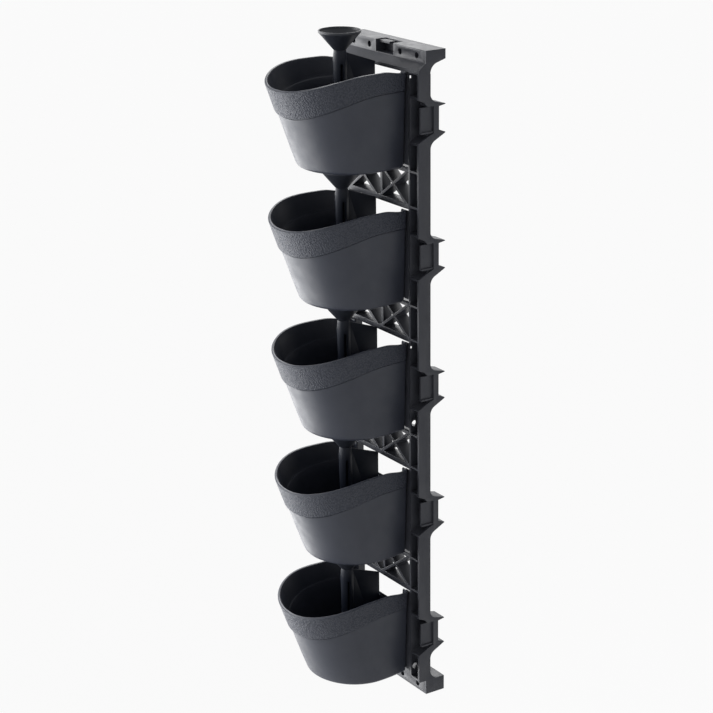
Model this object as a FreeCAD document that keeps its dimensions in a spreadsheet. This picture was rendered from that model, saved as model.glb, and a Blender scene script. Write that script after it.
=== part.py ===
import FreeCAD, Part
import os
from math import sqrt
from types import SimpleNamespace

import Sketcher
from FreeCAD import Placement, Rotation, Vector

# A vertical wall planter: a tall frame for the wall that carries five pots, with a funnel and a slotted
# watering tube in each. X runs along the wall, the wall is the plane Y = 0 and the front faces -Y.
# Z = 0 is half way up the frame. Sizes with a height of their own are measured from the middle of a tier.

TIERS = 5
RIB_WINDOW_TIERS = (0, 2)
RIB_HOLE_TIERS = (2, 4)
SLOT_TURNS = (-20, 165, 240)

SIZES = {
    # whole frame
    "tier_pitch": 200.0,
    "frame_half": 102.6,
    "front_depth": 46.6,
    # rails
    "rail_width": 25.4,
    "rail_depth": 21.0,
    "rail_wall": 4.0,
    "rail_web": 3.0,
    "rib_wall": 3.0,
    "ledge_level": 35.0,
    "ladder_level": 26.0,
    "rib_window_low": 59.0,
    "rib_window_high": 63.5,
    "rib_window_depth": 5.0,
    "rib_hole_level": 58.0,
    "rib_hole_radius": 4.8,
    "rib_hole_inset": 7.0,
    # side sockets and wall spurs of the rails
    "mouth_half": 31.0,
    "mouth_throat": 10.0,
    "throat_up": 20.5,
    "throat_down": 18.5,
    "throat_depth": 16.0,
    "spur_up": 22.4,
    "spur_down": 19.7,
    "spur_tip": 1.2,
    "spur_rise": 4.3,
    "spur_fall": 9.5,
    "spur_shoulder": 18.0,
    "spur_fillet": 14.0,
    "spur_foot": 43.0,
    "strip_back": 11.0,
    "strip_front": 20.0,
    "strip_wall": 3.0,
    "pocket_front": 40.6,
    "pocket_wall": 3.0,
    "pocket_ledge": 2.5,
    # bars
    "bar_depth": 33.7,
    "bar_wall": 4.0,
    "top_bar_front": 18.1,
    "top_bar_back": 14.0,
    "apron_drop": 9.7,
    "lip_drop": 5.3,
    "lip_wall": 3.0,
    "bottom_bar_height": 23.0,
    "bar_fillet": 16.0,
    "bar_fillet_drop": 19.8,
    "end_height": 45.0,
    "bar_shoulder": 14.0,
    "bar_shoulder_drop": 4.2,
    "screw_inner": 38.7,
    "screw_side": 22.9,
    "screw_inset": 9.5,
    "screw_radius": 3.0,
    "screw_head_radius": 4.4,
    "screw_head_depth": 5.0,
    "boss_radius": 4.9,
    "notch_half": 22.0,
    "notch_depth": 18.0,
    "notch_drop": 17.5,
    "tongue_width": 26.0,
    "tongue_depth": 12.0,
    "tongue_wall": 3.0,
    # lattice panels and hanger bars
    "lattice_half": 27.0,
    "chord_height": 8.0,
    "strut_height": 5.5,
    "post_width": 6.0,
    "post_inset": 5.5,
    "hanger_low": 20.0,
    "hanger_high": 8.0,
    "panel_low": 66.0,
    "panel_high": 66.5,
    "panel_wall": 3.0,
    "ear_width": 12.0,
    "tenon_middle": 40.0,
    "tenon_width": 20.0,
    "tenon_low": 12.0,
    "tenon_height": 12.0,
    "tenon_length": 18.0,
    "tenon_gap": 0.3,
    # pots
    "pot_gap": 1.0,
    "pot_rim": 70.6,
    "pot_base": 71.2,
    "pot_wall": 2.2,
    "pot_floor": 3.0,
    "pot_corner": 5.0,
    "pot_base_chamfer": 3.5,
    "pot_side_gap": 19.2,
    "pot_side_taper": 8.9,
    "pot_top_depth": 175.6,
    "pot_top_bluff": 115.0,
    "pot_top_reach": 3.0,
    "pot_base_depth": 123.5,
    "pot_base_bluff": 4.0,
    "pot_base_reach": 5.0,
    "pot_top_tuck": 7.8,
    "pot_base_tuck": 5.2,
    "band_proud": 3.2,
    "rim_flat": 123.0,
    "rim_sweep": 220.0,
    "band_back": 42.0,
    "band_flat": 78.5,
    "band_sweep": 235.0,
    "back_dip": 38.0,
    "back_dip_half": 62.0,
    "trim_margin": 20.0,
    "drain_radius": 4.0,
    "drip_radius": 2.5,
    "drip_reach": 24.0,
    # tubes and funnels
    "water_axis": 110.0,
    "tube_top": 95.5,
    "tube_top_radius": 8.9,
    "tube_shoulder": 83.0,
    "tube_shoulder_radius": 10.3,
    "tube_foot_radius": 8.0,
    "tube_wall": 1.6,
    "slot_width": 3.5,
    "slot_low": 50.0,
    "slot_high": 76.0,
    "fin_wall": 3.0,
    "fin_low": 56.0,
    "fin_high": 68.0,
    "fin_rise": 18.0,
    "fin_gap": 1.5,
    "ring_gap": 0.3,
    "ring_wall": 2.0,
    "ring_height": 8.0,
    "funnel_rim": 123.6,
    "funnel_radius": 30.7,
    "funnel_lip": 3.2,
    "funnel_wall": 1.8,
    "funnel_neck": 9.0,
    "spout_gap": 0.3,
    "spout_wall": 1.6,
    "spout_length": 13.0,
}


class Size:
    """A length together with the spreadsheet formula that it comes from."""

    def __init__(self, value, formula):
        self.value = float(value)
        self.formula = formula

    def __add__(self, other):
        other = as_size(other)
        return Size(self.value + other.value, f"({self.formula} + {other.formula})")

    def __sub__(self, other):
        other = as_size(other)
        return Size(self.value - other.value, f"({self.formula} - {other.formula})")

    def __mul__(self, other):
        other = as_size(other)
        return Size(self.value * other.value, f"({self.formula} * {other.formula})")

    def __truediv__(self, other):
        return Size(self.value / other.value, f"({self.formula} / {other.formula})")

    def __neg__(self):
        return Size(-self.value, f"(0 - {self.formula})")


def as_size(length):
    return length if isinstance(length, Size) else Size(length, f"({length})")


def root(area):
    return Size(sqrt(area.value), f"sqrt({area.formula})")


def sag(run, radius):
    """How far an arc that starts level has come down after a run."""
    return radius - root(radius * radius - run * run)


doc = FreeCAD.newDocument("wall_planter")
sheet = doc.addObject("Spreadsheet::Sheet", "sizes")
for row, (name, value) in enumerate(SIZES.items(), start=1):
    sheet.set(f"A{row}", name)
    sheet.set(f"B{row}", str(value))
    sheet.setAlias(f"B{row}", name)
doc.recompute()

d = SimpleNamespace(**{name: Size(value, f"sizes.{name}") for name, value in SIZES.items()})
ZERO = as_size(0)
parts = []


def bind(item, path, length):
    item.setExpression(path, as_size(length).formula)


def new_body(name):
    body = doc.addObject("PartDesign::Body", name)
    body.Label = name
    parts.append(body)
    return body


def move(item, x, y, z):
    bind(item, "Placement.Base.x", x)
    bind(item, "Placement.Base.y", y)
    bind(item, "Placement.Base.z", z)


def block(body, name, x, y, z, cut=False):
    """A box between two limits on each axis, added to the body or cut from it."""
    kind = "SubtractiveBox" if cut else "AdditiveBox"
    item = body.newObject(f"PartDesign::{kind}", name)
    bind(item, "Length", as_size(x[1]) - x[0])
    bind(item, "Width", as_size(y[1]) - y[0])
    bind(item, "Height", as_size(z[1]) - z[0])
    item.Refine = False
    move(item, x[0], y[0], z[0])
    return item


def rod(body, name, axis, radius, length, start, cut=False):
    """A round bar along an axis from its start, added to the body or cut from it."""
    kind = "SubtractiveCylinder" if cut else "AdditiveCylinder"
    item = body.newObject(f"PartDesign::{kind}", name)
    bind(item, "Radius", radius)
    bind(item, "Height", length)
    item.Refine = False
    item.Placement = Placement(Vector(), Rotation(Vector(0, 0, 1), axis))
    move(item, *start)
    return item


def new_sketch(body, name, plane, level):
    sketch = body.newObject("Sketcher::SketchObject", name)
    planes = {feature.Role: feature for feature in body.Origin.OriginFeatures}
    sketch.AttachmentSupport = (planes[f"{plane}_Plane"], [""])
    sketch.MapMode = "FlatFace"
    bind(sketch, "AttachmentOffset.Base.z", level)
    return sketch


def constrain(sketch, kind, *items, length=None):
    if length is None:
        sketch.addConstraint(Sketcher.Constraint(kind, *items))
        return
    index = sketch.addConstraint(Sketcher.Constraint(kind, *items, length.value))
    sketch.setExpression(f"Constraints[{index}]", length.formula)


def pin(sketch, kind, point, length):
    """Hold one coordinate of a point at a distance from the origin."""
    axis = -2 if kind == "DistanceX" else -1
    if abs(length.value) < 1e-9:
        constrain(sketch, "PointOnObject", *point, axis)
    elif length.value > 0:
        constrain(sketch, kind, -1, 1, *point, length=length)
    else:
        constrain(sketch, kind, *point, -1, 1, length=-length)


def bend(start, end, radius):
    """The arc from start to end that bulges to the right of the way along it."""
    chord = end - start
    half = chord.Length / 2
    rise = radius - sqrt(radius * radius - half * half)
    side = Vector(chord.y, -chord.x, 0).normalize()
    return Part.Arc(start, start + chord * 0.5 + side * rise, end)


def outline(body, name, plane, level, points):
    """A closed sketch through points. A third value makes the edge that ends there an arc of that radius,
    which bulges to the right of the way along the outline, or to its left where the value is negative."""
    sketch = new_sketch(body, name, plane, level)
    places = [Vector(as_size(p[0]).value, as_size(p[1]).value, 0) for p in points]
    ends = []
    for index, point in enumerate(points):
        start, end = places[index - 1], places[index]
        if len(point) == 2:
            edge = sketch.addGeometry(Part.LineSegment(start, end))
            ends.append((edge, 1, 2))
            continue
        radius = as_size(point[2])
        if radius.value > 0:
            edge = sketch.addGeometry(bend(start, end, radius.value))
            ends.append((edge, 1, 2))
            constrain(sketch, "Radius", edge, length=radius)
        else:
            edge = sketch.addGeometry(bend(end, start, -radius.value))
            ends.append((edge, 2, 1))
            constrain(sketch, "Radius", edge, length=-radius)
    for index, point in enumerate(points):
        edge, _, last = ends[index]
        follower, first, _ = ends[(index + 1) % len(points)]
        constrain(sketch, "Coincident", edge, last, follower, first)
        pin(sketch, "DistanceX", (edge, last), as_size(point[0]))
        pin(sketch, "DistanceY", (edge, last), as_size(point[1]))
    return sketch


def plate(body, name, plane, points, level, depth, cut=False):
    """An outline drawn at a level along the normal of its plane and padded or cut through a depth."""
    sketch = outline(body, f"{name}_outline", plane, level, points)
    item = body.newObject(f"PartDesign::{'Pocket' if cut else 'Pad'}", name)
    item.Profile = sketch
    item.Refine = False
    item.Reversed = cut
    bind(item, "Length", depth)
    return item


def turned(body, name, points):
    """A profile of radius and height turned about the vertical axis of the body."""
    sketch = outline(body, f"{name}_outline", "XZ", ZERO, points)
    item = body.newObject("PartDesign::Revolution", name)
    item.Profile = sketch
    item.ReferenceAxis = (sketch, ["V_Axis"])
    item.Angle = 360
    return item


def tier_middle(tier):
    return d.tier_pitch * (TIERS / 2 - tier - 0.5)


frame_top = d.tier_pitch * (TIERS / 2)
frame_base = -frame_top
front = -d.front_depth
rail_back = d.rail_depth - d.front_depth
rail_inner = d.frame_half - d.rail_width
rib_outer = rail_inner + d.rail_wall
wall_inner = d.frame_half - d.rail_wall
web_front = rail_back - d.rail_web
top_lip = frame_top - d.top_bar_front - d.apron_drop - d.lip_drop
bottom_top = frame_base + d.bottom_bar_height
pot_top_half = d.frame_half - d.pot_side_gap
pot_base_half = pot_top_half - d.pot_side_taper


def make_rail(name):
    """The rail at the right: one tier drawn and repeated down the frame, then its two ends."""
    body = new_body(name)
    channel = (rib_outer, wall_inner)
    outer = (wall_inner, d.frame_half)
    joints = (frame_top - d.tier_pitch, frame_top)
    block(body, "web", channel, (web_front, rail_back), joints)
    block(body, "inner_rib", (rail_inner, rib_outer), (front, rail_back), joints)
    block(body, "outer_wall", outer, (front, rail_back), joints)
    for side, level in (("low", joints[0] + d.ladder_level), ("high", joints[1] - d.ladder_level)):
        limits = (level - d.rib_wall * 0.5, level + d.rib_wall * 0.5)
        block(body, f"ladder_{side}", channel, (front, web_front), limits)
    add_socket(body, tier_middle(0), channel)
    doc.recompute()
    tiers = body.newObject("PartDesign::LinearPattern", "tiers")
    tiers.TransformMode = "Whole shape"
    tiers.Direction = (next(axis for axis in body.Origin.OriginFeatures if axis.Role == "Z_Axis"), [""])
    tiers.Reversed = True
    tiers.Mode = "Spacing"
    bind(tiers, "Offset", d.tier_pitch)
    tiers.Occurrences = TIERS
    body.Tip = tiers
    block(body, "top_trim", (rail_inner, d.frame_half), (front, rail_back), (top_lip, frame_top), cut=True)
    block(body, "bottom_trim", (rail_inner, d.frame_half), (front, rail_back), (frame_base, bottom_top),
          cut=True)
    shoulder = frame_top - d.top_bar_back - d.bar_shoulder_drop
    end_foot = frame_top - d.end_height
    plate(body, "top_end", "YZ", [
        (front, end_foot),
        (rail_back, end_foot),
        (rail_back, shoulder - d.bar_fillet_drop),
        (-d.bar_shoulder, shoulder, -d.bar_fillet),
        (ZERO, frame_top - d.top_bar_back),
        (ZERO, frame_top),
        (-d.bar_depth, frame_top),
        (-d.bar_depth, frame_top - d.top_bar_front),
        (front, frame_top - d.top_bar_front - d.apron_drop),
    ], wall_inner, d.rail_wall)
    plate(body, "bottom_end", "YZ", [
        (-d.bar_depth, bottom_top),
        (-d.bar_depth, frame_base),
        (ZERO, frame_base),
        (ZERO, bottom_top),
        (-d.bar_shoulder, bottom_top),
        (rail_back, bottom_top + d.bar_fillet, -d.bar_fillet),
        (web_front, bottom_top + d.bar_fillet),
        (web_front, bottom_top),
    ], wall_inner, d.rail_wall)
    for tier in RIB_WINDOW_TIERS:
        middle = tier_middle(tier)
        block(body, f"rib_window_{tier}", (rail_inner, rib_outer), (front, front + d.rib_window_depth),
              (middle + d.rib_window_low, middle + d.rib_window_high), cut=True)
    for tier in RIB_HOLE_TIERS:
        start = (rail_inner, front + d.rib_hole_inset, tier_middle(tier) - d.rib_hole_level)
        rod(body, f"rib_hole_{tier}", Vector(1, 0, 0), d.rib_hole_radius, d.rail_wall, start, cut=True)
    return body


def add_socket(body, middle, channel):
    """The side socket in the middle of a tier with its two spurs that stand against the wall."""
    shoulder = -d.spur_shoulder
    strip = -d.strip_back
    plate(body, "bracket", "YZ", [
        (web_front, middle - d.spur_foot),
        (rail_back, middle - d.spur_foot),
        (shoulder, middle - d.spur_down - d.spur_fall, -d.spur_fillet),
        (ZERO, middle - d.spur_down),
        (ZERO, middle - d.spur_down + d.spur_tip),
        (strip, middle - d.throat_down + d.spur_rise),
        (strip, middle + d.throat_up - d.spur_tip),
        (ZERO, middle + d.spur_up - d.spur_tip),
        (ZERO, middle + d.spur_up),
        (shoulder, middle + d.spur_up + d.spur_rise),
        (rail_back, middle + d.spur_foot, -d.spur_fillet),
        (web_front, middle + d.spur_foot),
    ], rail_inner, d.rail_width)
    hollow_back = strip - d.strip_wall
    hollow = (middle - d.throat_down, middle + d.throat_up - d.spur_tip)
    block(body, "hollow", channel, (web_front, hollow_back), hollow, cut=True)
    throat = -(d.front_depth - d.throat_depth)
    plate(body, "mouth", "YZ", [
        (front, middle - d.mouth_half),
        (throat, middle - d.throat_down - d.spur_rise),
        (-d.strip_front, middle - d.throat_down),
        (-d.strip_front, middle + d.throat_up),
        (throat, middle + d.throat_up),
        (throat - d.mouth_throat + d.spur_rise, middle + d.mouth_half - d.spur_rise),
        (front, middle + d.mouth_half),
    ], wall_inner, d.rail_wall, cut=True)
    pocket = (wall_inner - d.pocket_wall, wall_inner)
    block(body, "pocket", pocket, (-d.pocket_front, hollow_back), hollow)
    ledge = (hollow[0], hollow[0] + d.pocket_ledge)
    block(body, "pocket_ledge", (wall_inner, wall_inner + d.pocket_ledge),
          (-d.pocket_front, -d.strip_front), ledge)
    top = middle + d.ledge_level
    block(body, "ledge", channel, (front, web_front), (top - d.rib_wall, top))
    plate(body, "sill", "YZ", [
        (front, middle - d.mouth_half - d.rib_wall),
        (web_front, middle - d.throat_down - d.spur_rise - d.rib_wall),
        (web_front, middle - d.throat_down - d.spur_rise),
        (front, middle - d.mouth_half),
    ], rib_outer, d.rail_width - d.rail_wall * 2)


def mirror_of(body, name):
    item = doc.addObject("Part::Mirroring", name)
    item.Label = name
    item.Source = body
    item.Normal = Vector(1, 0, 0)
    parts.append(item)


def screw_bosses(body, level):
    """Four bosses from the front of a bar back to the wall, each bored for a screw with a sunk head."""
    outer = d.frame_half - d.screw_side
    places = (-outer, -d.screw_inner, d.screw_inner, outer)
    backward = Vector(0, 1, 0)
    for index, x in enumerate(places):
        start = (x, d.bar_wall * 0.5 - d.bar_depth, level)
        rod(body, f"boss_{index}", backward, d.boss_radius, d.bar_depth - d.bar_wall * 0.5, start)
    for index, x in enumerate(places):
        start = (x, -d.bar_depth, level)
        rod(body, f"screw_{index}", backward, d.screw_radius, d.bar_depth, start, cut=True)
        rod(body, f"screw_head_{index}", backward, d.screw_head_radius, d.screw_head_depth, start, cut=True)


def make_top_bar(name):
    body = new_body(name)
    face_foot = frame_top - d.top_bar_front
    apron_foot = face_foot - d.apron_drop
    inside = -d.bar_depth + d.bar_wall
    length = wall_inner * 2
    plate(body, "section", "YZ", [
        (ZERO, frame_top),
        (-d.bar_depth, frame_top),
        (-d.bar_depth, face_foot),
        (front, apron_foot),
        (front, top_lip),
        (front + d.lip_wall, top_lip),
        (front + d.lip_wall, apron_foot - d.lip_wall * 0.5),
        (inside, face_foot - d.lip_wall * 0.5),
        (ZERO, frame_top - d.top_bar_back),
    ], -wall_inner, length)
    plate(body, "hollow", "YZ", [
        (ZERO, frame_top - d.bar_wall),
        (inside, frame_top - d.bar_wall),
        (inside, face_foot + d.lip_wall),
        (ZERO, frame_top - d.top_bar_back + d.lip_wall),
    ], d.bar_wall - wall_inner, length - d.bar_wall * 2, cut=True)
    screw_bosses(body, frame_top - d.screw_inset)
    tongue_back = d.notch_depth - d.bar_depth
    pocket = d.notch_half + d.lip_wall
    plate(body, "notch_pocket", "YZ", [
        (tongue_back + d.tongue_wall, frame_top - d.bar_wall * 0.5),
        (inside - d.bar_wall * 0.5, frame_top - d.bar_wall * 0.5),
        (inside - d.bar_wall * 0.5, face_foot - d.lip_wall * 0.5),
        (tongue_back + d.tongue_wall, face_foot - d.lip_wall * 0.5),
    ], -pocket, pocket * 2)
    block(body, "notch", (-d.notch_half, d.notch_half), (-d.bar_depth, tongue_back),
          (frame_top - d.notch_drop, frame_top), cut=True)
    block(body, "tongue", (-d.notch_half, d.tongue_width - d.notch_half),
          (tongue_back - d.tongue_depth, tongue_back + d.tongue_wall),
          (frame_top - d.tongue_wall * 1.5, frame_top - d.tongue_wall * 0.5))


def make_bottom_bar(name):
    body = new_body(name)
    block(body, "section", (-wall_inner, wall_inner), (-d.bar_depth, ZERO), (frame_base, bottom_top))
    block(body, "hollow", (d.bar_wall - wall_inner, wall_inner - d.bar_wall),
          (d.bar_wall - d.bar_depth, ZERO), (frame_base + d.bar_wall, bottom_top - d.bar_wall), cut=True)
    screw_bosses(body, frame_base + d.screw_inset)


def make_lattice(name, tier):
    body = new_body(name)
    back = -rail_back
    low = -d.lattice_half
    chord = d.chord_height * 0.5
    strut = d.strut_height * 0.5
    for side, level in (("low", low), ("high", d.lattice_half)):
        plate(body, f"chord_{side}", "XZ", [
            (-rail_inner, level - chord),
            (rail_inner, level - chord),
            (rail_inner, level + chord),
            (-rail_inner, level + chord),
        ], back, d.rail_depth)
        for hand, reach in (("left", -rail_inner), ("right", rail_inner)):
            plate(body, f"strut_{hand}_{side}", "XZ", [
                (ZERO, level - strut),
                (reach, -level - strut),
                (reach, -level + strut),
                (ZERO, level + strut),
            ], back, d.rail_depth)
    block(body, "post", (-d.post_width * 0.5, d.post_width * 0.5), (front + d.post_inset, rail_back),
          (low, d.lattice_half))
    bind(body, "Placement.Base.z", tier_middle(tier) - d.tier_pitch * 0.5)


def make_hanger(name, tier):
    body = new_body(name)
    across = (-rail_inner, rail_inner)
    panel = (front, front + d.panel_wall)
    block(body, "bar", across, (front, rail_back), (-d.hanger_low, d.hanger_high))
    block(body, "panel", across, panel, (-d.panel_low, d.hanger_high))
    for hand, limits in (("left", (-rail_inner, d.ear_width - rail_inner)),
                         ("right", (rail_inner - d.ear_width, rail_inner))):
        block(body, f"ear_{hand}", limits, panel, (ZERO, d.panel_high))
    half = d.tenon_width * 0.5 + d.tenon_gap
    for hand, middle in (("left", -d.tenon_middle), ("right", d.tenon_middle)):
        block(body, f"mortise_{hand}", (middle - half, middle + half), (front, rail_back),
              (-d.tenon_low, d.tenon_height + d.tenon_gap - d.tenon_low), cut=True)
    bind(body, "Placement.Base.z", tier_middle(tier))


def pot_plan(body, name, level, back, plan):
    """A plan with a flat back, sides that close in towards it, and a round front of three arcs that run
    into each other."""
    half, depth, bluff, reach, corner, tuck = plan
    rear = -back
    nose = half + bluff
    nose_middle = nose - depth - back
    cheek = half - reach
    sink = root(bluff * (bluff + reach * 2))
    stretch = nose / (bluff + reach)
    side_end = nose_middle - sink
    meet_x = reach * stretch
    meet_y = nose_middle - sink * stretch
    side_run = rear - corner - side_end
    side_sweep = (side_run * side_run + tuck * tuck) / (tuck * 2)
    rear_half = half - tuck
    return outline(body, name, "XY", level, [
        (corner - rear_half, rear),
        (-rear_half, rear - corner, corner),
        (-half, side_end, side_sweep),
        (-meet_x, meet_y, cheek),
        (meet_x, meet_y, nose),
        (half, side_end, cheek),
        (rear_half, rear - corner, side_sweep),
        (rear_half - corner, rear, corner),
    ])


def pot_form(body, name, grow, back, foot, cut=False, chamfer=None):
    """The tapering form of a pot, grown or shrunk alike all round, from its foot to well above the rim."""
    depth_grow = grow * 2 if cut else grow
    grows = (grow, depth_grow, ZERO, ZERO, grow, ZERO)
    base = (pot_base_half, d.pot_base_depth, d.pot_base_bluff, d.pot_base_reach, d.pot_corner,
            d.pot_base_tuck)
    rim = (pot_top_half, d.pot_top_depth, d.pot_top_bluff, d.pot_top_reach, d.pot_corner, d.pot_top_tuck)
    stretch = (d.pot_base + d.pot_rim + d.trim_margin) / (d.pot_base + d.pot_rim)
    top = [low + (high - low) * stretch for low, high in zip(base, rim)]
    lower = [a + b for a, b in zip(base, grows)]
    upper = [a + b for a, b in zip(top, grows)]
    plans = [pot_plan(body, f"{name}_top_plan", d.pot_rim + d.trim_margin, back, upper)]
    if chamfer is not None:
        plans.append(pot_plan(body, f"{name}_side_plan", foot + chamfer, back, lower))
        lower = [a - chamfer * b for a, b in zip(lower, (1, 2, 0, 0, 1, 0))]
        back = back + chamfer
    plans.append(pot_plan(body, f"{name}_base_plan", foot, back, lower))
    loft = body.newObject(f"PartDesign::{'Subtractive' if cut else 'Additive'}Loft", name)
    loft.Profile = plans[-1]
    loft.Sections = plans[-2::-1]
    loft.Ruled = True
    loft.Refine = False
    return loft


def make_pot(name, tier):
    body = new_body(name)
    back = d.front_depth + d.pot_gap
    rear = d.trim_margin - back
    width = (pot_top_half + d.trim_margin) * 2
    side = -(pot_top_half + d.trim_margin)
    trim_end = back + d.pot_top_depth + d.trim_margin
    floor = d.pot_floor - d.pot_base
    pot_form(body, "band_form", d.band_proud, back, -d.pot_base)
    below = -(d.pot_base + d.trim_margin)
    plate(body, "band_cut", "YZ", [
        (rear, below),
        (rear, d.band_back),
        (-d.band_flat, d.band_back),
        (-trim_end, d.band_back - sag(trim_end - d.band_flat, d.band_sweep), d.band_sweep),
        (-trim_end, below),
    ], side, width, cut=True)
    pot_form(body, "wall_form", ZERO, back, -d.pot_base, chamfer=d.pot_base_chamfer)
    above = d.pot_rim + d.trim_margin * 2
    plate(body, "rim_cut", "YZ", [
        (rear, d.pot_rim),
        (rear, above),
        (-trim_end, above),
        (-trim_end, d.pot_rim - sag(trim_end - d.rim_flat, d.rim_sweep)),
        (-d.rim_flat, d.pot_rim, -d.rim_sweep),
    ], side, width, cut=True)
    pot_form(body, "hollow", -d.pot_wall, back + d.pot_wall, floor, cut=True)
    block(body, "back_dip", (-d.back_dip_half, d.back_dip_half), (-back - d.pot_wall * 2, rear),
          (d.back_dip, above), cut=True)
    up = Vector(0, 0, 1)
    foot = d.tube_foot_radius + d.ring_gap
    axis = -d.water_axis
    sunk = floor - d.pot_floor * 0.5
    rod(body, "ring", up, foot + d.ring_wall, d.ring_height + d.pot_floor * 0.5, (ZERO, axis, sunk))
    rod(body, "ring_bore", up, foot, d.ring_height, (ZERO, axis, floor), cut=True)
    rod(body, "drain", up, d.drain_radius, d.pot_floor, (ZERO, axis, -d.pot_base), cut=True)
    for index, (x, y) in enumerate(((-1, 0), (1, 0), (0, -1), (0, 1))):
        start = (d.drip_reach * x, axis + d.drip_reach * y, -d.pot_base)
        rod(body, f"drip_{index}", up, d.drip_radius, d.pot_floor, start, cut=True)
    half = d.tenon_width * 0.5
    for hand, middle in (("left", -d.tenon_middle), ("right", d.tenon_middle)):
        block(body, f"tenon_{hand}", (middle - half, middle + half),
              (-back - d.pot_wall * 0.5, d.tenon_length - back),
              (-d.tenon_low, d.tenon_height - d.tenon_low))
    bind(body, "Placement.Base.z", tier_middle(tier))


def make_tube(name, tier):
    body = new_body(name)
    foot = d.pot_floor - d.pot_base
    turned(body, "wall", [
        (d.tube_foot_radius - d.tube_wall, foot),
        (d.tube_foot_radius, foot),
        (d.tube_shoulder_radius, d.tube_shoulder),
        (d.tube_top_radius, d.tube_top),
        (d.tube_top_radius - d.tube_wall, d.tube_top),
        (d.tube_shoulder_radius - d.tube_wall, d.tube_shoulder),
    ])
    for index, turn in enumerate(SLOT_TURNS):
        slot = body.newObject("PartDesign::SubtractiveBox", f"slot_{index}")
        bind(slot, "Length", d.tube_shoulder_radius * 2)
        bind(slot, "Width", d.slot_width)
        bind(slot, "Height", d.slot_low + d.slot_high)
        spin = Rotation(Vector(0, 0, 1), turn)
        aside = spin.multVec(Vector(0, 1, 0))
        slot.Placement = Placement(Vector(), spin)
        move(slot, d.slot_width * (-aside.x / 2), d.slot_width * (-aside.y / 2), -d.slot_low)
    fin_end = d.water_axis - d.front_depth - d.pot_gap - d.pot_wall - d.fin_gap
    plate(body, "fin", "YZ", [
        (d.tube_foot_radius, -d.fin_low),
        (fin_end, -d.fin_low),
        (fin_end, d.fin_high),
        (d.tube_foot_radius, d.fin_high + d.fin_rise),
    ], d.fin_wall * -0.5, d.fin_wall)
    move(body, ZERO, -d.water_axis, tier_middle(tier))


def make_funnel(name, tier):
    body = new_body(name)
    spout = d.tube_top_radius - d.tube_wall - d.spout_gap
    bore = spout - d.spout_wall
    spout_end = d.tube_top - d.spout_length
    lip = d.funnel_rim - d.funnel_lip
    turned(body, "wall", [
        (bore, spout_end),
        (spout, spout_end),
        (spout, d.tube_top),
        (d.funnel_neck, d.tube_top),
        (d.funnel_radius - d.funnel_wall * 0.5, lip),
        (d.funnel_radius, lip),
        (d.funnel_radius, d.funnel_rim),
        (d.funnel_radius - d.funnel_wall, d.funnel_rim),
        (bore, d.tube_top + d.funnel_wall * 0.5),
    ])
    move(body, ZERO, -d.water_axis, tier_middle(tier))


rail = make_rail("rail_right")
mirror_of(rail, "rail_left")
make_top_bar("top_bar")
make_bottom_bar("bottom_bar")
for tier in range(TIERS - 1):
    make_lattice(f"lattice_{tier + 1}", tier)
for tier in range(TIERS):
    make_hanger(f"hanger_bar_{tier + 1}", tier)
    make_pot(f"pot_{tier + 1}", tier)
    make_tube(f"tube_{tier + 1}", tier)
    make_funnel(f"funnel_{tier + 1}", tier)
for part in parts:
    if part.TypeId == "PartDesign::Body":
        part.Tip.Refine = True
doc.recompute()

for item in doc.Objects:
    if "Invalid" in item.State or "Error" in item.State:
        raise RuntimeError(f"{item.Label} did not build: {item.State}")
os.makedirs("parts", exist_ok=True)
for part in parts:
    shape = part.Shape
    if shape.isNull() or not shape.isValid() or len(shape.Solids) != 1:
        raise RuntimeError(f"{part.Label} is not one sound solid")
    shape.exportStep(f"parts/{part.Label}.step")
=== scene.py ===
from math import asin, atan2, cos, pi, radians, sin, sqrt

import bmesh
import bpy
from mathutils import Matrix, Vector


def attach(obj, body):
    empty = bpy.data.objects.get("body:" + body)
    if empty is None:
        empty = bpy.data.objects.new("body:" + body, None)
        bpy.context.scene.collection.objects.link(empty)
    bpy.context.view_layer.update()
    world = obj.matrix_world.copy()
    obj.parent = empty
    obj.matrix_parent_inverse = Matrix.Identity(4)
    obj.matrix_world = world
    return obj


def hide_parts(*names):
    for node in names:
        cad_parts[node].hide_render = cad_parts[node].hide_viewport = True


# The looks of a vertical wall planter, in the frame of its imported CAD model. The sizes named here are in
# millimetres, apart from the studio's, and a tier's heights are measured from the middle of that tier.

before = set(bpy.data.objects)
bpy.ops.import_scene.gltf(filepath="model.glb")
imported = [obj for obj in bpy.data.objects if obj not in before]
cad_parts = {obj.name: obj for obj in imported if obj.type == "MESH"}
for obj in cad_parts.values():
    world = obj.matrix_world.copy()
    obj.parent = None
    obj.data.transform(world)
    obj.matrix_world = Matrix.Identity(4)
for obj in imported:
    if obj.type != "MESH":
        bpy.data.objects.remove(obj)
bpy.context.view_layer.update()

MM = 0.001
TIERS = range(1, 6)
LATTICES = range(1, 5)
FRAME_TOP, TIER_PITCH = 500.0, 200.0
FRAME_EDGE, TUBE_EDGE = 0.6, 0.4
WATER_AXIS = -110.0

# Levels and walls of the pot. A wall's place is its growth, the distance outward from the plan.
POT_BASE, POT_RIM, POT_BACK = -71.2, 70.6, -47.6
FOOT_ROUND, FLOOR_THICK = 5.0, 3.0
WALL_INSIDE, BAND_INSIDE, BAND_PROUD = -2.6, -1.6, 3.2

# The pot's plan at the base and at the rim: its half width and depth, how much larger the nose's radius
# is than the half width, how far the cheeks' centres lie from the middle, and how far the sides close in
# towards the back
PLAN_BASE = {"half": 74.5, "depth": 123.5, "bluff": 4.0, "reach": 5.0, "tuck": 5.2}
PLAN_RIM = {"half": 83.4, "depth": 175.6, "bluff": 115.0, "reach": 3.0, "tuck": 7.8}
BACK_CORNER, LEAST_CORNER = 5.0, 0.5

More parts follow.
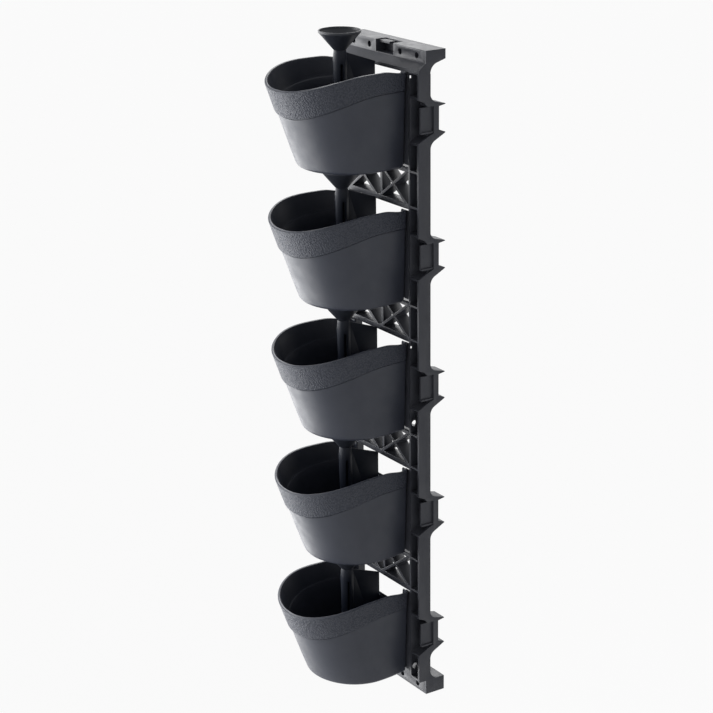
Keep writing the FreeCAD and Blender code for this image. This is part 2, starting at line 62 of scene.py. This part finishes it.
# The rim and the lower edge of the band: arcs that fall to the front, beyond a distance from the wall.
# The rim's crest fades out to the front, and the rim also falls a little to the back.
RIM_FLAT, RIM_SWEEP = 123.0, 220.0
BAND_BACK, BAND_FLAT, BAND_SWEEP = 42.5, 88.0, 220.0
RIM_CREST, CREST_FLAT, CREST_FADE = 2.2, 100.0, 100.0
BACK_FALL, FALL_FLAT, FALL_RUN = 5.0, 92.0, 36.0
LEAST_BAND = 4.0

# The dip in the back wall, and its edge: shares of the half width, and the height of the rim there
BACK_DIP, DIP_SHARE = 38.0, 0.86
DIP_EDGE = {0.860: 38.0, 0.868: 38.6, 0.876: 41.5, 0.882: 67.0, 0.890: 69.9, 0.900: 70.6}

# Stations of the half plan: shares of the back's half width, and the steps along each other part
BACK_SHARES = (0, 0.15, 0.3, 0.45, 0.6, 0.75, *DIP_EDGE, 0.95)
PLAN_STEPS = (("corner", 7), ("side", 20), ("cheek", 34), ("nose", 9))

# Small forms of the wall, as growth and height: the groove and step at the lower edge of the band, the
# lip at the outer and at the inner edge of the rim, and the shelf inside at the band's lower edge
GROOVE = ((0.0, -1.9), (-0.8, -1.6), (-0.9, -0.2), (2.6, 0.0), (3.05, 0.3), (BAND_PROUD, 1.0))
LIP_OUT = ((BAND_PROUD, -1.4), (3.0, -0.6), (2.5, -0.1), (1.8, 0.0))
LIP_MIDDLE = 0.8
LIP_IN = ((-0.2, 0.0), (-1.0, -0.1), (-1.45, -0.6), (BAND_INSIDE, -1.4))
SHELF = ((BAND_INSIDE, 0.9), (-1.75, 0.3), (-2.4, -0.2), (WALL_INSIDE, -0.9))

# Steps up the plain walls and up the band, the row of the groove where the grain starts, and the rings
# that close the floor, as shares of its outline
WALL_STEPS, BAND_STEPS, GRAIN_START = 8, 7, 2
FLOOR_RINGS = (0.75, 0.5, 0.25)

# Drain holes by their place round the water axis and their radius, the tenons and the ring for the tube
DRAINS = ((0, 0, 4.0), (-24, 0, 2.5), (24, 0, 2.5), (0, -24, 2.5), (0, 24, 2.5))
DRILL_LOW, DRILL_HIGH = POT_BASE - 5, POT_BASE + 8
TENON_MIDDLES, TENON_HALF, TENON_LOW, TENON_HIGH = (-40.0, 40.0), 10.0, -12.0, 0.0
TENON_ROOT, TENON_END, TENON_EDGE = POT_BACK - 1.2, POT_BACK + 18, 0.8
RING_PROFILE, RING_EDGE = ((8.3, -69.5), (10.3, -69.5), (10.3, -60.2), (8.3, -60.2)), 0.6

# The funnel, as radius and height
FUNNEL_EDGE = 0.9
FUNNEL_PROFILE = (
    (5.4, 82.5), (7.0, 82.5), (7.0, 95.5), (9.0, 95.5), (29.4, 119.4), (30.7, 120.2), (30.7, 123.6),
    (28.9, 123.6), (28.2, 120.2), (5.4, 96.6),
)

# The fin of a tube: a little over half its wall, where it starts behind the water axis, the heights
# between which its top lies, and how far that top is raised
FIN_HALF, FIN_START, FIN_RAISE = 1.6, 5.0, 5.5
FIN_LOW, FIN_HIGH = 66.0, 90.0

# The studio in metres, and the photograph's camera, found by fitting: its turn, tilt and roll in degrees
FLOOR_LEVEL, FLOOR_HALF = -2.3, 60.0
CAMERA_PLACE = (2.40027, -1.66863, 0.99857)
CAMERA_ANGLES = (56.633, 18.556, -0.675)
FOCAL_PIXELS, PICTURE_PIXELS, SENSOR = 2033.9, 713, 36.0


def tier_middle(tier):
    return FRAME_TOP - TIER_PITCH * (tier - 0.5)


# Materials

NOISE_LOW, NOISE_HIGH = 0.3, 0.7


def new_material(name):
    material = bpy.data.materials.new(name)
    material.use_nodes = True
    nodes, links = material.node_tree.nodes, material.node_tree.links
    return material, nodes, links, nodes["Principled BSDF"]


def noise(nodes, links, source, scale, detail):
    item = nodes.new("ShaderNodeTexNoise")
    item.inputs["Scale"].default_value = scale
    item.inputs["Detail"].default_value = detail
    links.new(source, item.inputs["Vector"])
    return item


def add_tint(nodes, links, shader, source, stops):
    ramp = nodes.new("ShaderNodeValToRGB")
    for element, (place, colour) in zip(ramp.color_ramp.elements, stops):
        element.position = place
        element.color = (*colour, 1.0)
    links.new(source, ramp.inputs["Fac"])
    links.new(ramp.outputs["Color"], shader.inputs["Base Color"])


def add_gloss(nodes, links, shader, source, low, high):
    spread = nodes.new("ShaderNodeMapRange")
    spread.inputs["From Min"].default_value = NOISE_LOW
    spread.inputs["From Max"].default_value = NOISE_HIGH
    spread.inputs["To Min"].default_value = low
    spread.inputs["To Max"].default_value = high
    links.new(source, spread.inputs["Value"])
    links.new(spread.outputs["Result"], shader.inputs["Roughness"])


def add_bump(nodes, links, shader, source, strength, depth, invert=False):
    bump = nodes.new("ShaderNodeBump")
    bump.invert = invert
    bump.inputs["Strength"].default_value = strength
    bump.inputs["Distance"].default_value = depth
    links.new(source, bump.inputs["Height"])
    links.new(bump.outputs["Normal"], shader.inputs["Normal"])


def moulded_plastic(name, dark, light, rough, grain_scale, grain_depth, specular):
    """Dyed plastic from a mould: a faint clouding of the colour, patchy gloss and a fine eroded skin."""
    material, nodes, links, shader = new_material(name)
    place = nodes.new("ShaderNodeTexCoord").outputs["Object"]
    clouds = noise(nodes, links, place, scale=22.0, detail=5.0)
    add_tint(nodes, links, shader, clouds.outputs["Fac"], ((NOISE_LOW, dark), (NOISE_HIGH, light)))
    patches = noise(nodes, links, place, scale=60.0, detail=6.0)
    add_gloss(nodes, links, shader, patches.outputs["Fac"], *rough)
    skin = noise(nodes, links, place, scale=grain_scale, detail=3.0)
    add_bump(nodes, links, shader, skin.outputs["Fac"], strength=0.35, depth=grain_depth)
    shader.inputs["Specular IOR Level"].default_value = specular
    return material


def grained_plastic_crease_shade(name, dark, light, rough, cell_scale, cell_depth, wander_reach, specular):
    """The pebbled leather grain of the band below a pot's rim, its creases darkened with painted shade."""
    material, nodes, links, shader = new_material(name)
    place = nodes.new("ShaderNodeTexCoord").outputs["Object"]
    wander = noise(nodes, links, place, scale=260.0, detail=2.0)
    drift = nodes.new("ShaderNodeVectorMath")
    drift.operation = "SCALE"
    drift.inputs["Scale"].default_value = wander_reach
    links.new(wander.outputs["Color"], drift.inputs[0])
    bent = nodes.new("ShaderNodeVectorMath")
    links.new(place, bent.inputs[0])
    links.new(drift.outputs["Vector"], bent.inputs[1])
    cells = nodes.new("ShaderNodeTexVoronoi")
    cells.feature = "SMOOTH_F1"
    cells.inputs["Scale"].default_value = cell_scale
    cells.inputs["Smoothness"].default_value = 0.35
    links.new(bent.outputs["Vector"], cells.inputs["Vector"])
    distance = cells.outputs["Distance"]
    # Painted shade: the colour darkens from the pebbles' tops down into the creases between them
    add_tint(nodes, links, shader, distance, ((0.15, light), (0.75, dark)))
    add_gloss(nodes, links, shader, distance, *rough)
    add_bump(nodes, links, shader, distance, strength=0.8, depth=cell_depth, invert=True)
    shader.inputs["Specular IOR Level"].default_value = specular
    return material


frame_plastic = moulded_plastic(
    "frame_plastic_skin", dark=(0.038, 0.041, 0.052), light=(0.048, 0.051, 0.063), rough=(0.40, 0.54),
    grain_scale=900.0, grain_depth=0.0002, specular=0.4)
pot_plastic = moulded_plastic(
    "pot_plastic_skin", dark=(0.032, 0.037, 0.053), light=(0.040, 0.045, 0.062), rough=(0.38, 0.50),
    grain_scale=1400.0, grain_depth=0.00012, specular=0.4)
# The band's grain, with painted shade in its creases
pot_band = grained_plastic_crease_shade(
    "pot_band_grain_crease_shade", dark=(0.031, 0.036, 0.051), light=(0.041, 0.046, 0.063), rough=(0.46, 0.66),
    cell_scale=420.0, cell_depth=0.0014, wander_reach=0.0016, specular=0.4)
# The tube and the funnel are one plastic: the tube's copy is darker with painted shade, the funnel's copy
# lighter with painted light
shaded_tube_plastic = moulded_plastic(
    "tube_plastic_painted_shade_skin", dark=(0.010, 0.013, 0.022), light=(0.015, 0.019, 0.030), rough=(0.38, 0.50),
    grain_scale=1100.0, grain_depth=0.00012, specular=0.2)
lit_funnel_plastic = moulded_plastic(
    "funnel_plastic_painted_light_skin", dark=(0.022, 0.025, 0.034), light=(0.030, 0.034, 0.044), rough=(0.36, 0.48),
    grain_scale=1100.0, grain_depth=0.00012, specular=0.35)


# Mesh tools


def new_piece(name, mesh, body, node, materials):
    for index, material in enumerate(materials):
        if index < len(mesh.materials):
            mesh.materials[index] = material
        else:
            mesh.materials.append(material)
    piece = bpy.data.objects.new(name, mesh)
    bpy.context.scene.collection.objects.link(piece)
    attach(piece, body)
    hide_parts(node)
    return piece


def mesh_from(form, name, materials=()):
    """A new mesh from a finished form, which is freed."""
    mesh = bpy.data.meshes.new(name)
    for material in materials:
        mesh.materials.append(material)
    form.to_mesh(mesh)
    form.free()
    return mesh


def mesh_in_metres(form, name, sharp_angle):
    """A smooth mesh in metres from a form in millimetres. Edges over the angle stay sharp."""
    bmesh.ops.scale(form, vec=(MM, MM, MM), verts=form.verts)
    bmesh.ops.recalc_face_normals(form, faces=form.faces)
    mesh = mesh_from(form, name)
    shade_smooth(mesh)
    mesh.set_sharp_from_angle(angle=radians(sharp_angle))
    return mesh


def shade_smooth(mesh):
    mesh.polygons.foreach_set("use_smooth", [True] * len(mesh.polygons))


def at_tier(mesh, tier):
    placed = mesh.copy()
    placed.transform(Matrix.Translation((0, 0, tier_middle(tier) * MM)))
    return placed


def add_ring_rows(form, rows):
    """Faces between closed rows of vertices that all have the same count, strip by strip."""
    made = []
    for lower, upper in zip(rows, rows[1:]):
        strip = []
        for index in range(len(lower)):
            after = (index + 1) % len(lower)
            strip.append(form.faces.new((lower[index], lower[after], upper[after], upper[index])))
        made.append(strip)
    return made


def add_fan(form, row, middle):
    for index in range(len(row)):
        form.faces.new((row[index], row[(index + 1) % len(row)], middle))


def add_lathe(form, profile, turns):
    """A closed profile of radius and height turned about the water axis."""
    angles = [2 * pi * n / turns for n in range(turns)]
    rows = []
    for radius, height in profile:
        points = [(radius * cos(a), WATER_AXIS + radius * sin(a), height) for a in angles]
        rows.append([form.verts.new(point) for point in points])
    add_ring_rows(form, [*rows, rows[0]])


def rounded(profile, radius, steps=4, most=0.45):
    """A closed profile with a curve at each corner, which takes at most a share of the two sides there."""
    points = []
    for index, here in enumerate(profile):
        here = Vector(here)
        before = Vector(profile[index - 1]) - here
        after = Vector(profile[(index + 1) % len(profile)]) - here
        reach = min(radius, before.length * most, after.length * most)
        start = here + before.normalized() * reach
        end = here + after.normalized() * reach
        for step in range(steps + 1):
            t = step / steps
            points.append(tuple(start * (1 - t) ** 2 + here * 2 * t * (1 - t) + end * t ** 2))
    return points


def add_block(form, low, high, edge):
    """A box with rounded edges."""
    low, high = Vector(low), Vector(high)
    corners = bmesh.ops.create_cube(form, size=1.0)["verts"]
    fit = Matrix.Translation((low + high) / 2) @ Matrix.Diagonal((*(high - low), 1))
    bmesh.ops.transform(form, verts=corners, matrix=fit)
    edges = list({e for v in corners for e in v.link_edges})
    bmesh.ops.bevel(form, geom=edges, offset=edge, segments=3, profile=0.5, affect="EDGES",
                    clamp_overlap=True)


# Frame pieces and tubes: the CAD solids with the small edge roundings of a moulding


def moulded_copy(node, edge, material, body):
    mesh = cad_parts[node].data.copy()
    mesh.name = f"{node}_moulding"
    form = bmesh.new()
    form.from_mesh(mesh)
    bmesh.ops.remove_doubles(form, verts=form.verts, dist=1e-6)
    bmesh.ops.dissolve_limit(form, angle_limit=radians(0.5), verts=form.verts, edges=form.edges)
    bmesh.ops.recalc_face_normals(form, faces=form.faces)
    form.to_mesh(mesh)
    form.free()
    piece = new_piece(f"{node}_moulding", mesh, body, node, (material,))
    shade_smooth(mesh)
    bevel = piece.modifiers.new("edge", "BEVEL")
    bevel.width = edge * MM
    bevel.segments = 2
    bevel.limit_method = "ANGLE"
    bevel.angle_limit = radians(28)
    bevel.harden_normals = True
    return piece


frame_nodes = ["rail_right", "rail_left", "top_bar", "bottom_bar"]
frame_nodes += [f"hanger_bar_{tier}" for tier in TIERS]
frame_nodes += [f"lattice_{number}" for number in LATTICES]
for node in frame_nodes:
    moulded_copy(node, FRAME_EDGE, frame_plastic, "frame")


# Pots: vertical columns of vertices round the plan


def plan_stations():
    """The stations round the plan, from the middle of the back by the right side to the front and home."""
    right = [("back", share) for share in BACK_SHARES]
    right += [(part, step / count) for part, count in PLAN_STEPS for step in range(count)]
    right.append(("nose", 1.0))
    return [(*s, 1) for s in right] + [(*s, -1) for s in right[-2:0:-1]]


def plan_point(station, height, grow):
    """A point of the plan at a height, moved outward by grow. Inward the flat back moves too."""
    part, share, side = station
    rise = (height - POT_BASE) / (POT_RIM - POT_BASE)
    size = {key: low + (PLAN_RIM[key] - low) * rise for key, low in PLAN_BASE.items()}
    bluff, reach, tuck = size["bluff"], size["reach"], size["tuck"]
    inset = max(-grow, 0)
    half = size["half"] + grow
    depth = size["depth"] + grow - inset
    corner = max(BACK_CORNER + grow, LEAST_CORNER)
    rear = POT_BACK - inset
    nose = half + bluff
    cheek = half - reach
    nose_middle = nose - depth + rear
    sink = sqrt(bluff * (bluff + reach * 2))
    side_end = nose_middle - sink
    side_run = rear - corner - side_end
    sweep = (side_run ** 2 + tuck ** 2) / (tuck * 2)
    meet = atan2(-sink, reach)
    if part == "back":
        x, y = share * (half - tuck - corner), rear
    elif part == "corner":
        turn = (1 - share) * pi / 2
        x, y = half - tuck - corner + corner * cos(turn), rear - corner + corner * sin(turn)
    elif part == "side":
        turn = asin(side_run / sweep) * (1 - share)
        x, y = half - sweep + sweep * cos(turn), side_end + sweep * sin(turn)
    elif part == "cheek":
        x, y = reach + cheek * cos(meet * share), side_end + cheek * sin(meet * share)
    else:
        turn = meet + (-pi / 2 - meet) * share
        x, y = nose * cos(turn), nose_middle + nose * sin(turn)
    return side * x, y


def sag(run, radius):
    return radius - sqrt(radius * radius - max(run, 0) ** 2)


def ease(share):
    share = min(max(share, 0.0), 1.0)
    return share * share * (3 - 2 * share)


def rim_height(y):
    """The rim has a low crest along the sides, and falls a little to the back and much to the front."""
    crest = RIM_CREST * (1 - ease((-y - CREST_FLAT) / CREST_FADE))
    fall = BACK_FALL * ease((y + FALL_FLAT) / FALL_RUN)
    return POT_RIM + crest - fall - sag(-y - RIM_FLAT, RIM_SWEEP)


def band_height(y):
    return BAND_BACK - sag(-y - BAND_FLAT, BAND_SWEEP)


def meet_height(station, grow, curve, start=40.0, tries=24):
    """The height at which a station's wall meets a curve, by tries that come closer to it."""
    height = start
    for _ in range(tries):
        height = curve(plan_point(station, height, grow)[1])
    return height


def between(low, high, count):
    return [low + (high - low) * step / count for step in range(1, count)]


def pot_column(station):
    """Pairs of growth and height from the foot up the outside, over the rim and down the inside.

    Also the rows between which the band has its grain.
    """
    part, share, _ = station
    cap = POT_RIM + RIM_CREST
    if part == "back":
        cap = DIP_EDGE.get(share, BACK_DIP if share < DIP_SHARE else POT_RIM)
    band = min(meet_height(station, BAND_PROUD, band_height), cap - LEAST_BAND)
    rim = min(meet_height(station, BAND_PROUD, rim_height), cap)
    ledge = min(meet_height(station, BAND_INSIDE, band_height), cap - LEAST_BAND)
    brim = min(meet_height(station, BAND_INSIDE, rim_height), cap)

    quarter = [n * pi / 12 for n in range(7)]
    foot_top = POT_BASE + FOOT_ROUND
    bowl_top = foot_top + FLOOR_THICK
    bowl_middle = WALL_INSIDE - FOOT_ROUND
    step = [(grow, band + z) for grow, z in GROOVE]
    lip = [(grow, rim + z) for grow, z in LIP_OUT]
    lip.append((LIP_MIDDLE, (rim + brim) / 2))
    lip += [(grow, brim + z) for grow, z in LIP_IN]
    shelf = [(grow, ledge + z) for grow, z in SHELF]

    foot = [(FOOT_ROUND * sin(a) - FOOT_ROUND, foot_top - FOOT_ROUND * cos(a)) for a in quarter]
    wall = [(0, z) for z in between(foot_top, step[0][1], WALL_STEPS)]
    strip = [(BAND_PROUD, z) for z in between(step[-1][1], lip[0][1], BAND_STEPS)]
    inside = [(BAND_INSIDE, z) for z in between(lip[-1][1], shelf[0][1], BAND_STEPS)]
    lower = [(WALL_INSIDE, z) for z in between(shelf[-1][1], bowl_top, WALL_STEPS)]
    bowl = [(bowl_middle + FOOT_ROUND * cos(a), bowl_top - FOOT_ROUND * sin(a)) for a in quarter]
    grain = len(foot + wall) + GRAIN_START, len(foot + wall + step + strip) + 1
    return foot + wall + step + strip + lip + inside + shelf + lower + bowl, grain


def make_pot_shell():
    form = bmesh.new()
    columns = []
    for station in plan_stations():
        column, grain = pot_column(station)
        columns.append([form.verts.new((*plan_point(station, z, grow), z)) for grow, z in column])
    rows = list(zip(*columns))
    for index, strip in enumerate(add_ring_rows(form, rows)):
        for face in strip:
            face.material_index = int(grain[0] <= index < grain[1])
    for row in (rows[0], rows[-1]):
        middle = Vector((0, WATER_AXIS, row[0].co.z))
        rings = [list(row)]
        for share in FLOOR_RINGS:
            rings.append([form.verts.new(middle.lerp(v.co, share)) for v in row])
        add_ring_rows(form, rings)
        add_fan(form, rings[-1], form.verts.new(middle))
    bmesh.ops.recalc_face_normals(form, faces=form.faces)
    return mesh_from(form, "pot_shell", (pot_plastic, pot_band))


def make_pot_drill():
    form = bmesh.new()
    depth, middle = DRILL_HIGH - DRILL_LOW, (DRILL_LOW + DRILL_HIGH) / 2
    for x, y, radius in DRAINS:
        made = bmesh.ops.create_cone(form, cap_ends=True, segments=32, radius1=radius, radius2=radius,
                                     depth=depth)
        bmesh.ops.translate(form, verts=made["verts"], vec=(x, WATER_AXIS + y, middle))
    return mesh_from(form, "pot_drill", (pot_plastic,))


def cut_mesh(mesh, tool):
    """The first mesh with the second cut out of it. Both have materials, or the faces lose theirs."""
    blank = bpy.data.objects.new("blank", mesh)
    cutter = bpy.data.objects.new("cutter", tool)
    for item in (blank, cutter):
        bpy.context.scene.collection.objects.link(item)
    cut = blank.modifiers.new("cut", "BOOLEAN")
    cut.operation = "DIFFERENCE"
    cut.solver = "EXACT"
    cut.object = cutter
    bpy.context.view_layer.update()
    evaluated = blank.evaluated_get(bpy.context.evaluated_depsgraph_get())
    result = bpy.data.meshes.new_from_object(evaluated)
    for item in (blank, cutter):
        bpy.data.objects.remove(item)
    return result


def make_pot_mesh():
    form = bmesh.new()
    form.from_mesh(cut_mesh(make_pot_shell(), make_pot_drill()))
    for middle in TENON_MIDDLES:
        add_block(form, (middle - TENON_HALF, TENON_ROOT, TENON_LOW),
                  (middle + TENON_HALF, TENON_END, TENON_HIGH), TENON_EDGE)
    add_lathe(form, rounded(RING_PROFILE, RING_EDGE), turns=64)
    return mesh_in_metres(form, "pot_moulding", sharp_angle=50)


pot_mesh = make_pot_mesh()
for tier in TIERS:
    new_piece(f"pot_{tier}_moulding", at_tier(pot_mesh, tier), f"planter_{tier}", f"pot_{tier}",
              (pot_plastic, pot_band))


# Watering tubes and funnels


def make_funnel_mesh():
    form = bmesh.new()
    add_lathe(form, rounded(FUNNEL_PROFILE, FUNNEL_EDGE), turns=96)
    return mesh_in_metres(form, "funnel_moulding", sharp_angle=40)


def raise_fin(mesh, tier):
    """Raises the fin's sloping top, at both its ends."""
    for vertex in mesh.vertices:
        x, y, z = vertex.co / MM
        behind = abs(x) < FIN_HALF and y > WATER_AXIS + FIN_START
        if behind and FIN_LOW < z - tier_middle(tier) < FIN_HIGH:
            vertex.co.z += FIN_RAISE * MM


funnel_mesh = make_funnel_mesh()
for tier in TIERS:
    new_piece(f"funnel_{tier}_moulding", at_tier(funnel_mesh, tier), f"filler_{tier}", f"funnel_{tier}",
              (lit_funnel_plastic,))
    tube = moulded_copy(f"tube_{tier}", TUBE_EDGE, shaded_tube_plastic, f"planter_{tier}")
    raise_fin(tube.data, tier)


# Studio


def background_rays(nodes, links, share):
    """A share for the rays that show the background: from the camera, a reflection or through glass."""
    path = nodes.new("ShaderNodeLightPath")
    both = nodes.new("ShaderNodeMath")
    both.operation = "MAXIMUM"
    links.new(path.outputs["Is Camera Ray"], both.inputs[0])
    links.new(path.outputs["Is Glossy Ray"], both.inputs[1])
    every = nodes.new("ShaderNodeMath")
    every.operation = "MAXIMUM"
    links.new(both.outputs["Value"], every.inputs[0])
    links.new(path.outputs["Is Transmission Ray"], every.inputs[1])
    scaled = nodes.new("ShaderNodeMath")
    scaled.operation = "MULTIPLY"
    scaled.inputs[1].default_value = share
    links.new(every.outputs["Value"], scaled.inputs[0])
    return scaled.outputs["Value"]


def make_floor():
    """A pale floor that is nearly white in the picture and still takes the object's shadow."""
    form = bmesh.new()
    bmesh.ops.create_grid(form, x_segments=1, y_segments=1, size=FLOOR_HALF)
    bmesh.ops.translate(form, verts=form.verts, vec=(0, 0, FLOOR_LEVEL))
    material, nodes, links, shader = new_material("studio_floor_paper")
    shader.inputs["Base Color"].default_value = (0.8, 0.8, 0.8, 1)
    shader.inputs["Roughness"].default_value = 0.9
    glow = nodes.new("ShaderNodeEmission")
    glow.inputs["Strength"].default_value = 1.0
    mix = nodes.new("ShaderNodeMixShader")
    links.new(background_rays(nodes, links, share=0.9), mix.inputs["Fac"])
    links.new(shader.outputs["BSDF"], mix.inputs[1])
    links.new(glow.outputs["Emission"], mix.inputs[2])
    links.new(mix.outputs["Shader"], nodes["Material Output"].inputs["Surface"])
    floor = bpy.data.objects.new("studio_floor", mesh_from(form, "studio_floor", (material,)))
    bpy.context.scene.collection.objects.link(floor)


def make_world():
    """Soft light from all round, and white where the background shows."""
    world = bpy.data.worlds.new("studio")
    world.use_nodes = True
    bpy.context.scene.world = world
    nodes, links = world.node_tree.nodes, world.node_tree.links
    soft = nodes["Background"]
    soft.inputs["Color"].default_value = (1, 1, 1, 1)
    soft.inputs["Strength"].default_value = 0.25
    white = nodes.new("ShaderNodeBackground")
    white.inputs["Strength"].default_value = 1.0
    mix = nodes.new("ShaderNodeMixShader")
    links.new(background_rays(nodes, links, share=1.0), mix.inputs["Fac"])
    links.new(soft.outputs["Background"], mix.inputs[1])
    links.new(white.outputs["Background"], mix.inputs[2])
    links.new(mix.outputs["Shader"], nodes["World Output"].inputs["Surface"])


def add_lamp(name, lamp, towards):
    """A lamp turned to shine from the side named by a direction."""
    item = bpy.data.objects.new(name, lamp)
    item.rotation_mode = "QUATERNION"
    item.rotation_quaternion = Vector(towards).to_track_quat("Z", "Y")
    bpy.context.scene.collection.objects.link(item)
    return item


def add_sun(name, towards, strength, angle):
    lamp = bpy.data.lights.new(name, "SUN")
    lamp.energy = strength
    lamp.angle = radians(angle)
    add_lamp(name, lamp, towards)


def add_panel(name, place, size, power):
    """A soft box that stands at a place and faces the middle of the object."""
    lamp = bpy.data.lights.new(name, "AREA")
    lamp.shape = "RECTANGLE"
    lamp.size, lamp.size_y = size
    lamp.energy = power
    item = add_lamp(name, lamp, place)
    item.location = place
    item.visible_camera = False


def add_camera():
    turn, tilt, roll = (radians(angle) for angle in CAMERA_ANGLES)
    level = Vector((cos(turn), sin(turn), 0))
    forward = Vector((-sin(turn) * cos(tilt), cos(turn) * cos(tilt), -sin(tilt)))
    up = level.cross(forward)
    across = level * cos(roll) + up * sin(roll)
    upward = up * cos(roll) - level * sin(roll)
    data = bpy.data.cameras.new("photo_camera")
    data.sensor_width = SENSOR
    data.lens = SENSOR * FOCAL_PIXELS / PICTURE_PIXELS
    data.clip_end = 200.0
    camera = bpy.data.objects.new("photo_camera", data)
    turned = Matrix((across, upward, -forward)).transposed().to_4x4()
    camera.matrix_world = Matrix.Translation(CAMERA_PLACE) @ turned
    bpy.context.scene.collection.objects.link(camera)
    bpy.context.scene.camera = camera


make_floor()
make_world()
add_panel("panel", place=(-1.38, -1.09, -0.40), size=(3.5, 2.6), power=90.0)
add_sun("key", towards=(-0.75, -0.65, 0.15), strength=1.5, angle=40)
add_sun("top", towards=(-0.66, 0.44, 0.60), strength=1.6, angle=45)
add_camera()
bpy.context.scene.view_settings.view_transform = "Standard"

bpy.context.view_layer.update()
